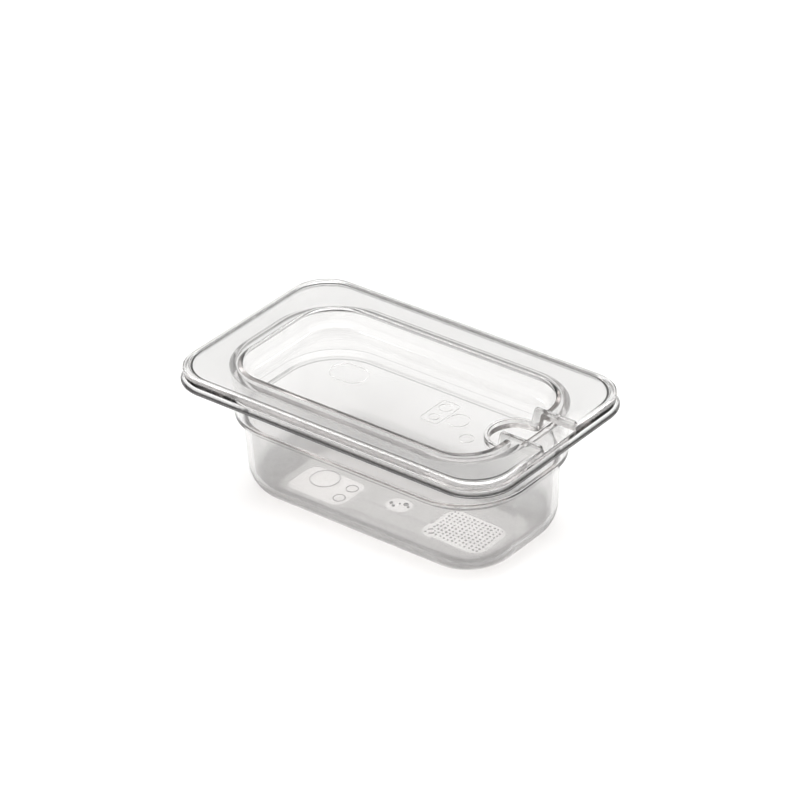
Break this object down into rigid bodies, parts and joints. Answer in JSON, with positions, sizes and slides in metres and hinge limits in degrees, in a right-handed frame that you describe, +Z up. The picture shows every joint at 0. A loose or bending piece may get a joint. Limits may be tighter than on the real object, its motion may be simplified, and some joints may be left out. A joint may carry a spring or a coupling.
{
  "type": "food pan with lid",
  "caption": "Clear plastic food pan with a turned-down rim, a stacking shoulder and a rounded body, closed by a clear lid with a sunken middle and a lipped serving notch.",
  "frame": {"origin": "under the middle of the pan's flat base, at the level of whatever it stands on", "axes": "+X along the long side, towards the short side with the lid's notch; +Y to the left of that; +Z up"},
  "size_m": [0.176, 0.108, 0.0677],
  "materials": {
    "pan_plastic": "clear, gloss",
    "lid_plastic": "clear, gloss"
  },
  "bodies": {
    "pan": {"pan": "pan_plastic"},
    "lid": {"lid": "lid_plastic"}
  },
  "joints": [
    {"name": "lid_lift", "type": "slide", "parent": "pan", "child": "lid", "axis": [0, 0, 1], "range_m": [0, 0.08]}
  ]
}
